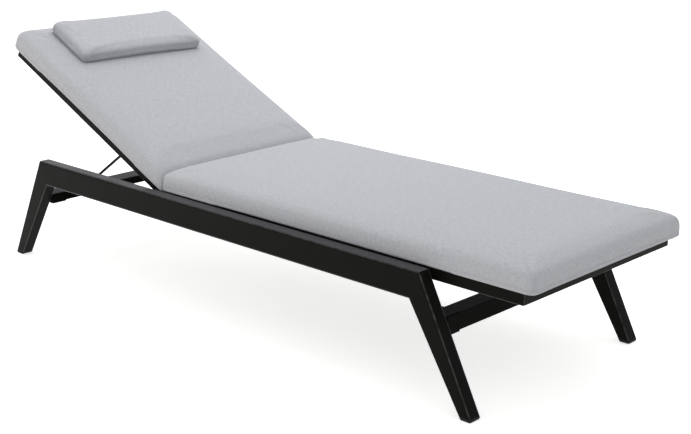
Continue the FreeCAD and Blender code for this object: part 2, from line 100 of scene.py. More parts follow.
def ramp(tree, value, low, high, fromLow, fromHigh):
    made = addNode(tree, "MapRange", {"Value": value, "From Min": fromLow, "From Max": fromHigh,
                                      "To Min": low, "To Max": high})
    return made.outputs["Result"]


def addBump(tree, shader, height, strength, depth):
    bump = addNode(tree, "Bump", {"Height": height, "Strength": strength, "Distance": depth})
    tree.links.new(bump.outputs[0], shader.inputs["Normal"])


# Coated frame

coat = {
    "speckle": (0.0070, 0.0070, 0.0062, 1.0),     # lighter grains in the coat
    "wearAndEdgeHighlight": (0.075, 0.075, 0.073, 1.0),           # rubbed edges, and painted highlight where light catches the rounded edges
    "lowerEdgeFloorHighlight": (0.11, 0.11, 0.107, 1.0),        # painted highlight on the lower edges, for the floor's light they catch
    "paintedTopReflection": (0.038, 0.038, 0.039, 1.0),           # painted reflection of the sky: lighter colour on faces that look up
    "bloom": 0.45,                                # pale sheen at grazing angles
    "bloomRoughness": 0.3,
    "bloomTint": (0.92, 0.92, 1.0, 1.0),
    "grainNoise": (1400.0, 2.0, 0.6),             # scale, detail and roughness, as in every noise here
    "grainShare": 0.5,
    "grainRange": (0.52, 0.75),                   # where in the noise it starts and is full
    "grainBump": 0.35,
    "grainDepth": 0.00012,
    "patchNoise": (14.0, 3.0, 0.5),
    "patchShare": 0.22,
    "patchRange": (0.4, 0.7),
    "edgeNoise": (60.0, 3.0, 0.5),
    "edgeLeast": 0.3,                              # share of the wear and painted edge highlight that no edge falls below
    "edgeNoiseRange": (0.35, 0.65),
    "edgeRange": (0.40, 0.75),                    # full up to the first, gone at the second
    "lowerRange": (-0.1, -0.6),                   # upward part of the normal
    "sidewaysRange": (0.3, 0.5),                  # sideways part of the normal
    "topReflectionRange": (0.7, 0.98),                     # upward part of the normal
    "smoother": 0.05,                             # how far the roughness goes down and up
    "rougher": 0.06,
    "roughRange": (0.3, 0.7),
}
coatKinds = {
    "anthraciteCoat": {"colour": (0.0040, 0.0040, 0.0030, 1.0), "roughness": 0.42, "gloss": 0.042,
                       "wearAndHighlightShare": 1.0, "topReflectionShare": 1.0},
    "blackRodCoat": {"colour": (0.0040, 0.0040, 0.0040, 1.0), "roughness": 0.40, "gloss": 0.042,
                     "wearAndHighlightShare": 0.3, "topReflectionShare": 0.2},
    # painted shade: the same coat with less gloss and weaker painted highlights, for the cross beams and sleeves
    # that lie in shade
    "shadedBeamCoat": {"colour": (0.0040, 0.0040, 0.0030, 1.0), "roughness": 0.5, "gloss": 0.012,
                      "wearAndHighlightShare": 0.5, "topReflectionShare": 0.3},
}


def edgeMask(tree, normal):
    # 1 on the rounded long edges of the tubes, where a normal is neither along X nor square to it
    sideways = calc(tree, "ABSOLUTE", normal.outputs[0])
    doubled = calc(tree, "MULTIPLY", sideways, 2.0)
    offMiddle = calc(tree, "ABSOLUTE", calc(tree, "SUBTRACT", doubled, 1.0))
    return ramp(tree, offMiddle, 1.0, 0.0, *coat["edgeRange"])


def makeCoat(name):
    kind = coatKinds[name]
    wearAndEdgeHighlight = kind["wearAndHighlightShare"]
    material, tree, shader = newMaterial(name)
    place = objectPoint(tree)
    normal = addNode(tree, "SeparateXYZ", {0: addNode(tree, "TexCoord").outputs["Normal"]})
    fine = noiseAt(tree, place, *coat["grainNoise"])
    broad = noiseAt(tree, place, *coat["patchNoise"])
    grains = ramp(tree, fine, 0.0, coat["grainShare"], *coat["grainRange"])
    tone = blendColour(tree, grains, kind["colour"], coat["speckle"])
    patches = ramp(tree, broad, 0.0, coat["patchShare"], *coat["patchRange"])
    tone = blendColour(tree, patches, tone, coat["speckle"])
    uneven = noiseAt(tree, place, *coat["edgeNoise"])
    rubbedAndLitEdges = ramp(tree, uneven, coat["edgeLeast"] * wearAndEdgeHighlight, wearAndEdgeHighlight, *coat["edgeNoiseRange"])
    # painted highlight on the rounded edges, mixed with rubbed wear
    tone = blendColour(tree, calc(tree, "MULTIPLY", edgeMask(tree, normal), rubbedAndLitEdges), tone, coat["wearAndEdgeHighlight"])
    # painted highlight: the lower edges are made lighter, as if they caught the floor's light
    facingDown = ramp(tree, normal.outputs[2], 0.0, wearAndEdgeHighlight, *coat["lowerRange"])
    sideways = ramp(tree, calc(tree, "ABSOLUTE", normal.outputs[0]), 0.0, 1.0, *coat["sidewaysRange"])
    tone = blendColour(tree, calc(tree, "MULTIPLY", facingDown, sideways), tone, coat["lowerEdgeFloorHighlight"])
    # painted sky reflection: faces that look up are made lighter
    topReflectionMask = ramp(tree, normal.outputs[2], 0.0, kind["topReflectionShare"], *coat["topReflectionRange"])
    tone = blendColour(tree, topReflectionMask, tone, coat["paintedTopReflection"])
    tree.links.new(tone, shader.inputs["Base Color"])
    rough = ramp(tree, broad, kind["roughness"] - coat["smoother"], kind["roughness"] + coat["rougher"],
                 *coat["roughRange"])
    tree.links.new(rough, shader.inputs["Roughness"])
    addBump(tree, shader, fine, coat["grainBump"], coat["grainDepth"])
    shader.inputs["Specular IOR Level"].default_value = kind["gloss"]
    shader.inputs["Sheen Weight"].default_value = coat["bloom"]
    shader.inputs["Sheen Roughness"].default_value = coat["bloomRoughness"]
    shader.inputs["Sheen Tint"].default_value = coat["bloomTint"]
    return material


# Plastic glides and plugs

plastic = {
    "colour": (0.0060, 0.0060, 0.0060, 1.0),
    "cloud": (0.0130, 0.0130, 0.0130, 1.0),
    "cloudNoise": (40.0, 3.0, 0.5),
    "cloudShare": 0.35,
    "cloudRange": (0.35, 0.7),
    "pitNoise": (900.0, 3.0, 0.6),
    "pitBump": 0.3,
    "pitDepth": 0.0001,
    "roughness": (0.48, 0.66),                    # from the smooth to the pitted places
    "roughRange": (0.3, 0.7),
    "gloss": 0.2,
}


def makePlastic(name):
    material, tree, shader = newMaterial(name)
    place = objectPoint(tree)
    pits = noiseAt(tree, place, *plastic["pitNoise"])
    clouds = noiseAt(tree, place, *plastic["cloudNoise"])
    clouds = ramp(tree, clouds, 0.0, plastic["cloudShare"], *plastic["cloudRange"])
    tone = blendColour(tree, clouds, plastic["colour"], plastic["cloud"])
    tree.links.new(tone, shader.inputs["Base Color"])
    rough = ramp(tree, pits, *plastic["roughness"], *plastic["roughRange"])
    tree.links.new(rough, shader.inputs["Roughness"])
    shader.inputs["Specular IOR Level"].default_value = plastic["gloss"]
    addBump(tree, shader, pits, plastic["pitBump"], plastic["pitDepth"])
    return material


# Steel fasteners, brushed across

steel = {
    "colour": (0.46, 0.46, 0.47, 1.0),
    "darker": (0.34, 0.34, 0.35, 1.0),
    "darkerShare": 0.5,
    "brushStretch": (0.05, 1.0, 1.0),
    "brushNoise": (900.0, 2.0, 0.7),
    "brushRange": (0.3, 0.7),
    "brushBump": 0.2,
    "brushDepth": 0.00005,
    "roughness": (0.26, 0.42),
}


def makeSteel(name):
    material, tree, shader = newMaterial(name)
    stretched = {"Vector": objectPoint(tree), "Scale": steel["brushStretch"]}
    place = addNode(tree, "Mapping", stretched).outputs[0]
    brushed = noiseAt(tree, place, *steel["brushNoise"])
    shader.inputs["Metallic"].default_value = 1.0
    streaks = ramp(tree, brushed, 0.0, steel["darkerShare"], *steel["brushRange"])
    tone = blendColour(tree, streaks, steel["colour"], steel["darker"])
    tree.links.new(tone, shader.inputs["Base Color"])
    rough = ramp(tree, brushed, *steel["roughness"], *steel["brushRange"])
    tree.links.new(rough, shader.inputs["Roughness"])
    addBump(tree, shader, brushed, steel["brushBump"], steel["brushDepth"])
    return material


# Woven fabric

fabric = {
    "lightYarn": (0.640, 0.650, 0.680, 1.0),
    "darkYarn": (0.490, 0.498, 0.522, 1.0),
    "warmYarn": (0.575, 0.573, 0.575, 1.0),
    "warmNoise": (9.0, 4.0, 0.55),
    "warmShare": 0.5,
    "warmRange": (0.35, 0.7),
    "yarnsPerMetre": 640.0,
    "yarnNoise": (0.83, 1.0, 0.5),
    "yarnStretch": 0.13,                          # how fast a yarn's tone changes along it
    "yarnRange": (0.36, 0.64),
    "weftLayer": 7.0,                             # takes the weft's tones from another part of the noise
    "weaveDepth": 0.0007,
    "weaveBump": 0.5,
    "weaveShade": (0.86, 1.03),                   # between yarns, on top of a yarn
    "weaveRange": (0.1, 0.9),
    "slubNoise": (170.0, 3.0, 0.6),               # thicker and thinner stretches of yarn
    "slubDepth": 0.035,
    "slubRange": (0.35, 0.65),
    "fuzzNoise": (1700.0, 2.0, 0.6),
    "fuzzShare": 0.5,
    "roughness": 0.88,
    "gloss": 0.25,
    "sheen": 0.22,
    "sheenRoughness": 0.55,
    "sheenTint": (0.9, 0.92, 1.0, 1.0),
    "underside": -0.5,                            # upward part of the normal below which a face looks down
    "levelGuard": 1e-4,                           # avoids a division by zero on level faces
}


def makeFabric(name):
    material, tree, shader = newMaterial(name)
    across = addNode(tree, "Attribute", attribute_name="weave").outputs["Vector"]
    split = addNode(tree, "SeparateXYZ", {0: across})
    u = calc(tree, "MULTIPLY", split.outputs[0], fabric["yarnsPerMetre"])
    v = calc(tree, "MULTIPLY", split.outputs[1], fabric["yarnsPerMetre"])
    uCell = calc(tree, "FLOOR", u)
    vCell = calc(tree, "FLOOR", v)
    odd = calc(tree, "PINGPONG", calc(tree, "ADD", uCell, vCell), 1.0)    # 0 or 1, like a checkerboard
    warpArch = calc(tree, "ABSOLUTE", calc(tree, "SINE", calc(tree, "MULTIPLY", u, math.pi)))
    weftArch = calc(tree, "ABSOLUTE", calc(tree, "SINE", calc(tree, "MULTIPLY", v, math.pi)))
    overWarp = calc(tree, "MULTIPLY", warpArch, calc(tree, "SUBTRACT", 1.0, odd))
    overWeft = calc(tree, "MULTIPLY", weftArch, odd)
    relief = calc(tree, "ADD", overWarp, overWeft)
    alongWarp = calc(tree, "MULTIPLY", v, fabric["yarnStretch"])
    warpPlace = addNode(tree, "CombineXYZ", {0: uCell, 1: alongWarp, 2: 0.0}).outputs[0]
    alongWeft = calc(tree, "MULTIPLY", u, fabric["yarnStretch"])
    weftPlace = addNode(tree, "CombineXYZ", {0: alongWeft, 1: vCell, 2: fabric["weftLayer"]}).outputs[0]
    warpTone = noiseAt(tree, warpPlace, *fabric["yarnNoise"])
    weftTone = noiseAt(tree, weftPlace, *fabric["yarnNoise"])
    yarnTone = addNode(tree, "Mix", {0: odd, 2: warpTone, 3: weftTone}).outputs[0]
    lightness = ramp(tree, yarnTone, 0.0, 1.0, *fabric["yarnRange"])
    tone = blendColour(tree, lightness, fabric["darkYarn"], fabric["lightYarn"])
    warmth = noiseAt(tree, across, *fabric["warmNoise"])
    warmth = ramp(tree, warmth, 0.0, fabric["warmShare"], *fabric["warmRange"])
    tone = blendColour(tree, warmth, tone, fabric["warmYarn"])
    shade = ramp(tree, relief, *fabric["weaveShade"], *fabric["weaveRange"])
    # painted shade on the sides, from the third part of the weave attribute
    shade = calc(tree, "MULTIPLY", shade, calc(tree, "SUBTRACT", 1.0, split.outputs[2]))
    slub = noiseAt(tree, across, *fabric["slubNoise"])
    uneven = ramp(tree, slub, 1.0 - fabric["slubDepth"], 1.0 + fabric["slubDepth"], *fabric["slubRange"])
    shade = calc(tree, "MULTIPLY", shade, uneven)
    grey = addNode(tree, "CombineColor", {0: shade, 1: shade, 2: shade}).outputs[0]
    tone = blendColour(tree, 1.0, tone, grey, "MULTIPLY")
    tree.links.new(tone, shader.inputs["Base Color"])
    shader.inputs["Roughness"].default_value = fabric["roughness"]
    shader.inputs["Specular IOR Level"].default_value = fabric["gloss"]
    shader.inputs["Sheen Weight"].default_value = fabric["sheen"]
    shader.inputs["Sheen Roughness"].default_value = fabric["sheenRoughness"]
    shader.inputs["Sheen Tint"].default_value = fabric["sheenTint"]
    fuzz = noiseAt(tree, across, *fabric["fuzzNoise"])
    height = calc(tree, "ADD", relief, calc(tree, "MULTIPLY", fuzz, fabric["fuzzShare"]))
    addBump(tree, shader, height, fabric["weaveBump"], fabric["weaveDepth"])
    return material


# Sewing thread

thread = {
    "dark": (0.40, 0.405, 0.42, 1.0),
    "light": (0.56, 0.565, 0.58, 1.0),
    "twistScale": 420.0,
    "twistDistortion": 1.0,
    "twistBump": 0.4,
    "twistDepth": 0.0002,
    "roughness": 0.7,
}


def makeThread(name):
    material, tree, shader = newMaterial(name)
    twisted = {"Vector": objectPoint(tree), "Scale": thread["twistScale"],
               "Distortion": thread["twistDistortion"]}
    twist = addNode(tree, "TexWave", twisted).outputs["Fac"]
    tone = blendColour(tree, twist, thread["dark"], thread["light"])
    tree.links.new(tone, shader.inputs["Base Color"])
    shader.inputs["Roughness"].default_value = thread["roughness"]
    addBump(tree, shader, twist, thread["twistBump"], thread["twistDepth"])
    return material


slotFinish = {
    "coated_aluminium": makeCoat("anthraciteCoat"),
    "coated_steel": makeCoat("blackRodCoat"),
    "steel_fastener": makeSteel("brushedScrew"),
    "black_plastic": makePlastic("blackNylon"),
}
beamCoatInShade = makeCoat("shadedBeamCoat")
wovenGrey = makeFabric("wovenGreyFabric")
greyThread = makeThread("greyThread")

for row in frame["record"]["subparts"]:
    finish = slotFinish.get(row["material_slot"], wovenGrey)
    # the beams and their sleeves get the shaded copy of the coat: painted shade
    if row["node"].endswith(("cross_beam", "beam_sleeve")):
        finish = beamCoatInShade
    mesh = cadNodes[row["node"]].data
    mesh.materials.clear()
    mesh.materials.append(finish)
print("materials made")


# Cushions: a crowned shell, swollen as cloth up to a cap, brought back to its size, then seamed

hinge = next(joint for joint in frame["joints"] if joint["name"] == "recline")
recline = math.radians(-hinge["range_deg"][0])      # the backrest's angle in the photograph
seatPlace = Matrix.Identity(4)
backPlace = Matrix.Translation(hinge["pos_m"]) @ Matrix.Rotation(recline, 4, "X")

soft = {
    "restGap": 0.0004,          # air under a cushion
    "levelSteps": 4,            # rings of the shell between two levels
    "quality": 5,
    "frames": 20,
    "sheetMass": 0.3,
    "shearPart": 3,             # the cloth resists shear this many times less than stretch
    "smoothing": 0.4,
    "smoothSteps": 2,
    "fill": 0.9,
    "tiny": 1e-9,               # avoids a division by zero
}
sewing = {
    "cutTolerance": 1e-5,
    "lineTolerance": 1e-4,      # points this near the middle cut are pressed in
    "rayStart": 0.05,           # outside the cushion
    "rayLength": 0.12,
    "routeDensity": 4,          # points of the route for each one of the shell's ring
    "sides": 6,                 # of the thread
    "rings": ((0.0, 0.4, -0.9), (0.2, 1.0, 0.0), (0.5, 1.05, 0.3),    # place, size and lift on a stitch
              (0.8, 1.0, 0.0), (1.0, 0.4, -0.9)),
}


def pointsOf(mesh):
    flat = np.zeros(len(mesh.vertices) * 3, np.float32)
    mesh.vertices.foreach_get("co", flat)
    return flat.reshape(-1, 3).astype(float)


def normalsOf(mesh):
    flat = np.zeros(len(mesh.vertices) * 3, np.float32)
    mesh.vertices.foreach_get("normal", flat)
    return flat.reshape(-1, 3).astype(float)


def setPoints(mesh, points):
    mesh.vertices.foreach_set("co", points.astype(np.float32).ravel())
    mesh.update()


def extentOf(node, place):
    # lowest and highest corner of a CAD solid, seen level
    back = np.array(place.inverted())
    points = pointsOf(cadNodes[node].data) @ back[:3, :3].T + back[:3, 3]
    return points.min(axis=0), points.max(axis=0)


def outline(halfWidth, nearEnd, farEnd, corners, drawIn, counts):
    # closed ring of points, sides drawn in between the corners
    near, far = corners
    length = farEnd - nearEnd - near - far
    sides = ((halfWidth, nearEnd + near, 0, 1, length, far),
             (halfWidth - far, farEnd, -1, 0, 2 * (halfWidth - far), far),
             (-halfWidth, farEnd - far, 0, -1, length, near),
             (near - halfWidth, nearEnd, 1, 0, 2 * (halfWidth - near), near))
    points = []
    for i, (x, y, dx, dy, run, corner) in enumerate(sides):
        for k in range(counts[i % 2]):
            share = k / counts[i % 2]
            pull = drawIn[i % 2] * math.sin(math.pi * share)
            points.append((x + dx * run * share - dy * pull, y + dy * run * share + dx * pull))
        middleX = x + dx * run - dy * corner
        middleY = y + dy * run + dx * corner
        startAngle = math.atan2(-dx, dy)
        for k in range(counts[2]):
            angle = startAngle + math.pi / 2 * k / counts[2]
            points.append((middleX + corner * math.cos(angle), middleY + corner * math.sin(angle)))
    return points


def smoothLevels(levels, steps):
    # (height share, inset) pairs on a Catmull-Rom curve through the given ones
    ends = [levels[0]] + list(levels) + [levels[-1]]
    curve = []
    for before, here, there, after in zip(ends, ends[1:], ends[2:], ends[3:]):
        for k in range(steps):
            t = k / steps
            curve.append([0.5 * (2 * b + (c - a) * t + (2 * a - 5 * b + 4 * c - d) * t ** 2
                                 + (3 * b - a - 3 * c + d) * t ** 3)
                          for a, b, c, d in zip(before, here, there, after)])
    curve.append(list(levels[-1]))
    return curve


def shell(name, spec):
    builder = bmesh.new()
    rings = []
    thickness = spec["thickness"] - spec["swell"]
    halfWidth = spec["halfWidth"] - spec["swell"] / 2
    for heightShare, inset in smoothLevels(spec["levels"], soft["levelSteps"]):
        height = thickness * heightShare
        near = spec["near"] + spec["swell"] / 2 + spec["lean"] * height + inset
        far = spec["far"] - spec["swell"] / 2 - inset
        corners = [corner + inset / 2 for corner in spec["corners"]]
        ring = outline(halfWidth - inset, near, far, corners, spec["drawIn"], spec["counts"])
        rings.append([builder.verts.new((x, y, height)) for x, y in ring])
    count = len(rings[0])
    for lower, upper in zip(rings, rings[1:]):
        for k in range(count):
            n = (k + 1) % count
            builder.faces.new((lower[k], lower[n], upper[n], upper[k]))
    builder.faces.new(list(reversed(rings[0])))
    builder.faces.new(rings[-1])
    bmesh.ops.triangulate(builder, faces=[f for f in builder.faces if len(f.verts) > 4])
    bmesh.ops.recalc_face_normals(builder, faces=builder.faces)
    mesh = bpy.data.meshes.new(name)
    builder.to_mesh(mesh)
    builder.free()
    piece = bpy.data.objects.new(name, mesh)
    bpy.context.scene.collection.objects.link(piece)
    return piece


def applyModifiers(piece):
    graph = bpy.context.evaluated_depsgraph_get()
    mesh = bpy.data.meshes.new_from_object(piece.evaluated_get(graph))
    old = piece.data
    piece.modifiers.clear()
    piece.data = mesh
    bpy.data.meshes.remove(old)


def inflate(piece, spec):
    remesh = piece.modifiers.new("remesh", "REMESH")
    remesh.mode = "VOXEL"
    remesh.voxel_size = spec["voxel"]
    applyModifiers(piece)
    start = pointsOf(piece.data)
    held = piece.vertex_groups.new(name="held")
    resting = [int(i) for i in np.nonzero(start[:, 2] < spec["heldBelow"])[0]]
    held.add(resting, 1.0, "REPLACE")
    cloth = piece.modifiers.new("cloth", "CLOTH")
    settings = cloth.settings
    settings.quality = soft["quality"]
    settings.mass = soft["sheetMass"]
    settings.tension_stiffness = spec["stretch"]
    settings.compression_stiffness = spec["stretch"]
    settings.shear_stiffness = spec["stretch"] / soft["shearPart"]
    settings.bending_stiffness = spec["bend"]
    settings.vertex_group_mass = "held"
    settings.use_pressure = True
    settings.uniform_pressure_force = spec["pressure"]
    settings.effector_weights.gravity = 0.0
    cloth.collision_settings.use_collision = False
    cloth.point_cache.frame_start = 1
    cloth.point_cache.frame_end = soft["frames"]
    for step in range(1, soft["frames"] + 1):
        bpy.context.scene.frame_set(step)
    applyModifiers(piece)
    moved = pointsOf(piece.data) - start
    distance = np.linalg.norm(moved, axis=1)
    print(piece.name, "cloth moved at most", round(float(distance.max()) * 1000, 1), "mm")
    share = np.minimum(1.0, spec["cap"] / np.maximum(distance, soft["tiny"]))
    setPoints(piece.data, start + moved * share[:, None])
    bpy.context.scene.frame_set(1)


def refine(piece):
    soften = piece.modifiers.new("soften", "SMOOTH")
    soften.iterations = soft["smoothSteps"]
    soften.factor = soft["smoothing"]
    finer = piece.modifiers.new("finer", "SUBSURF")
    finer.levels = 1
    finer.render_levels = 1
    applyModifiers(piece)


def fitToSize(piece, spec):
    # the swollen form goes back to the space that its solid holds
    points = pointsOf(piece.data)
    low = points.min(axis=0)
    high = points.max(axis=0)
    wantedLow = np.array([-spec["halfWidth"], spec["near"], 0.0])
    wantedHigh = np.array([spec["halfWidth"], spec["far"], spec["thickness"]])
    setPoints(piece.data, wantedLow + (points - low) / (high - low) * (wantedHigh - wantedLow))


def lowerCorners(piece, spec):
    # the filling gives way at the two corners by the backrest
    points = pointsOf(piece.data)
    aside = np.hypot(spec["halfWidth"] - np.abs(points[:, 0]), spec["far"] - points[:, 1])
    share = np.clip(1.0 - aside / spec["dropReach"], 0.0, 1.0)
    height = np.clip(points[:, 2] / spec["thickness"], 0.0, 1.0)
    points[:, 2] -= spec["drop"] * share ** 2 * (3 - 2 * share) * height ** 2
    setPoints(piece.data, points)


def pressSeam(piece, spec):
    # three cuts round the cushion, the middle one pressed in
    builder = bmesh.new()
    builder.from_mesh(piece.data)
    half = spec["seamWidth"] / 2
    for offset in (-half, 0.0, half):
        geometry = builder.verts[:] + builder.edges[:] + builder.faces[:]
        bmesh.ops.bisect_plane(builder, geom=geometry, dist=sewing["cutTolerance"],
                               plane_co=(0, 0, spec["seamHeight"] + offset), plane_no=(0, 0, 1))
    builder.normal_update()
    pressed = [v for v in builder.verts if abs(v.co.z - spec["seamHeight"]) < sewing["lineTolerance"]]
    for vert in pressed:
        flat = Vector((vert.normal.x, vert.normal.y, 0.0)).normalized()
        vert.co -= flat * spec["seamDepth"]
    builder.to_mesh(piece.data)
    builder.free()


def seamRoute(piece, spec, height):
    # rays from outside find where a line at this height runs on the cushion
    tree = BVHTree.FromObject(piece, bpy.context.evaluated_depsgraph_get())
    near = spec["near"] + spec["lean"] * height
    ring = outline(spec["halfWidth"], near, spec["far"], spec["corners"], spec["drawIn"],
                   tuple(sewing["routeDensity"] * count for count in spec["counts"]))
    found = []
    for k, (x, y) in enumerate(ring):
        xNext, yNext = ring[(k + 1) % len(ring)]
        xLast, yLast = ring[k - 1]
        inward = Vector((yLast - yNext, xNext - xLast, 0.0)).normalized()
        outside = Vector((x, y, height)) - inward * sewing["rayStart"]
        hit, normal = tree.ray_cast(outside, inward, sewing["rayLength"])[:2]
        if hit is not None:
            found.append((hit, normal))
    return found


def stitch(builder, start, end, radius, materialIndex):
    # a thread that dips into the cloth at both ends
    along = end[0] - start[0]
    out = start[1]
    side = along.cross(out).normalized()
    sides = sewing["sides"]
    rings = []
    for share, size, lift in sewing["rings"]:
        middle = start[0] + along * share + out * (radius * lift)
        ring = []
        for k in range(sides):
            turn = 2 * math.pi * k / sides
            spoke = side * math.cos(turn) + out * math.sin(turn)
            ring.append(builder.verts.new(middle + spoke * radius * size))
        rings.append(ring)
    faces = [builder.faces.new(rings[0]), builder.faces.new(list(reversed(rings[-1])))]
    for lower, upper in zip(rings, rings[1:]):
        for k in range(sides):
            n = (k + 1) % sides
            faces.append(builder.faces.new((lower[k], upper[k], upper[n], lower[n])))
    for face in faces:
        face.material_index = materialIndex
        face.smooth = True


def sewSeam(piece, spec):
    # one row of stitches above the pressed line
    route = seamRoute(piece, spec, spec["seamHeight"] + spec["seamWidth"])
    places = np.array([spot for spot, normal in route])
    travelled = np.concatenate([[0.0], np.cumsum(np.linalg.norm(np.diff(places, axis=0), axis=1))])
    builder = bmesh.new()
    builder.from_mesh(piece.data)
    for k in range(int(travelled[-1] / spec["stitchPitch"])):
        ends = []
        for along in (k * spec["stitchPitch"], k * spec["stitchPitch"] + spec["stitchLength"]):
            i = min(int(np.searchsorted(travelled, along, side="right")) - 1, len(route) - 2)
            share = (along - travelled[i]) / max(travelled[i + 1] - travelled[i], soft["tiny"])
            spot = route[i][0].lerp(route[i + 1][0], share)
            ends.append((spot, route[i][1].lerp(route[i + 1][1], share).normalized()))
        stitch(builder, ends[0], ends[1], spec["threadRadius"], 1)
    builder.to_mesh(piece.data)
    builder.free()


def addWeave(piece, spec):
    # woven directions that run over the edges instead of through them, and the painted shade of the sides
    mesh = piece.data
    points = pointsOf(mesh)
    normals = normalsOf(mesh)
    drop = np.maximum(spec["thickness"] - points[:, 2], 0.0)
    level = np.abs(normals[:, 0]) + np.abs(normals[:, 1]) + fabric["levelGuard"]
    side = np.abs(normals[:, 0]) / level
    middle = (spec["near"] + spec["far"]) / 2
    below = normals[:, 2] < fabric["underside"]
    u = points[:, 0] + np.sign(points[:, 0]) * drop * np.where(below, 0.0, side)
    v = points[:, 1] + np.sign(points[:, 1] - middle) * drop * np.where(below, 0.0, 1 - side)
    # painted shade: grows as the normal turns away from up
    upright = np.clip((spec["shadeFrom"] - normals[:, 2]) / spec["shadeFrom"], 0.0, 1.0)
    values = np.stack([u, v, spec["paintedSideShade"] * upright], axis=1)
    layer = mesh.attributes.new("weave", "FLOAT_VECTOR", "POINT")
    layer.data.foreach_set("vector", values.astype(np.float32).ravel())


def dress(piece):
    mesh = piece.data
    mesh.materials.clear()
    mesh.materials.append(wovenGrey)
    mesh.materials.append(greyThread)
    mesh.polygons.foreach_set("use_smooth", [True] * len(mesh.polygons))


def makeCushion(name, spec):
    piece = shell(name, spec)
    inflate(piece, spec)
    refine(piece)
    fitToSize(piece, spec)
    lowerCorners(piece, spec)
    pressSeam(piece, spec)
    dress(piece)
    sewSeam(piece, spec)
    addWeave(piece, spec)
    print(name, "made:", len(piece.data.vertices), "points")
    return piece


def settle(piece, place, height):
    piece.data.transform(place @ Matrix.Translation((0.0, 0.0, height)))


def declare(node):
    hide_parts(node)


# Seat cushion

seatLow, seatHigh = extentOf("seat_cushion", seatPlace)
seatCushionSpec = {
    "halfWidth": seatHigh[0],
    "near": seatLow[1],
    "far": seatHigh[1],
    "lean": 0.0,
    "thickness": seatHigh[2] - seatLow[2],
    "swell": 0.005,             # how much smaller the shell starts
    "levels": ((0.0, 0.0035), (0.06, 0.0012), (0.18, 0.0002), (0.42, 0.0), (0.64, 0.0016),
               (0.77, 0.0058), (0.87, 0.0135), (0.935, 0.0265), (0.978, 0.0540), (1.0, 0.1100)),
    "corners": (0.020, 0.016),  # at the foot end, at the backrest
    "drop": 0.008,
    "dropReach": 0.12,
    "drawIn": (0.003, 0.0035),  # along, across
    "counts": (40, 24, 8),
    "voxel": 0.007,
    "heldBelow": 0.004,
    "pressure": 4.0,
    "stretch": 30.0,
    "bend": 3.0,
    "cap": 0.005,               # most that a point keeps of its movement; most moving points reach it
    "seamHeight": 0.0105,
    "seamWidth": 0.0030,
    "seamDepth": 0.0011,
    "stitchPitch": 0.0042,
    "stitchLength": 0.0030,
    "threadRadius": 0.0004,
    "paintedSideShade": 0.0,           # painted shade: how much darker the sides are made
    "shadeFrom": 0.75,          # upward part of the normal at which that starts
}
seatCushion = makeCushion("seatCushion", seatCushionSpec)
settle(seatCushion, seatPlace, seatLow[2])
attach(seatCushion, "base")
declare("seat_cushion")


# Back cushion, upright at its lower end where it meets the seat cushion

backLow, backHigh = extentOf("back_cushion", backPlace)
crease = {
    "gap": 0.0006,              # air between the two cushions
    "blendStart": (0, 0.282, 0.3154),
    "blendEnd": (0, 0.352, 0.3600),
}
creaseY = seatHigh[1] + crease["gap"] - hinge["pos_m"][1]
backCushionSpec = dict(
    seatCushionSpec,
    halfWidth=backHigh[0],
    near=(creaseY + backLow[2] * math.sin(recline)) / math.cos(recline),
    far=backHigh[1],
    lean=math.tan(recline),
    thickness=backHigh[2] - backLow[2],
    corners=(0.014, 0.031),
    drop=0.0,
    counts=(30, 24, 8),
)
backCushion = makeCushion("backCushion", backCushionSpec)
settle(backCushion, Matrix.Identity(4), backLow[2])
backSurface = BVHTree.FromObject(backCushion, bpy.context.evaluated_depsgraph_get())
settle(backCushion, backPlace, 0.0)
declare("back_cushion")


# Head pillow, its underside laid on the back cushion

pillowLow, pillowHigh = extentOf("head_pillow", backPlace)
stripLow, stripHigh = extentOf("pillow_grip_strips", backPlace)
pillowSpec = dict(
    seatCushionSpec,
    halfWidth=pillowHigh[0] - 0.004,
    near=pillowLow[1],
    far=pillowHigh[1],
    thickness=pillowHigh[2] - pillowLow[2],
    swell=0.003,
    levels=((0.0, 0.0040), (0.12, 0.0012), (0.28, 0.0002), (0.46, 0.0), (0.62, 0.0006), (0.74, 0.0024),
            (0.83, 0.0054), (0.90, 0.0094), (0.955, 0.0145), (0.985, 0.0205), (1.0, 0.0300)),
    corners=(0.016, 0.016),
    drop=0.0,
    offset=0.004,               # it lies slightly to the right
    turn=math.radians(-1.4),    # and askew
    sinkLeast=0.2,              # the share of the height at its top that doesn't sink
    sinkPower=1.5,
    stripReach=0.012,           # from the grip strips to where it sinks fully
    rayAbove=0.05,
    rayLength=0.12,
    drawIn=(0.0015, 0.0025),
    # painted shade on the pillow's sides, up to 35 percent darker
    paintedSideShade=0.35,
    shadeFrom=0.85,
    counts=(16, 32, 6),
    voxel=0.005,
    cap=0.003,
    seamHeight=0.0080,
    seamDepth=0.0005,
)


def layOn(piece, spec, base):
    # all but its top sinks to the cushion below, most at the bottom, but not into the grip strips
    points = pointsOf(piece.data)
    down = Vector((0, 0, -1))
    for i, (x, y, z) in enumerate(points):
        lower = 1.0 - z / spec["thickness"]
        if lower < spec["sinkLeast"]:
            continue
        above = Vector((x, y, base + spec["rayAbove"]))
        hit = backSurface.ray_cast(above, down, spec["rayLength"])[0]
        if hit is None:
            continue
        air = base - hit.z - soft["restGap"]
        fromStrips = max(abs(x) - stripHigh[0], stripLow[1] - y, y - stripHigh[1])
        share = min(max(fromStrips / spec["stripReach"], 0.0), 1.0)
        points[i, 2] = z - air * share * lower ** spec["sinkPower"]
    setPoints(piece.data, points)


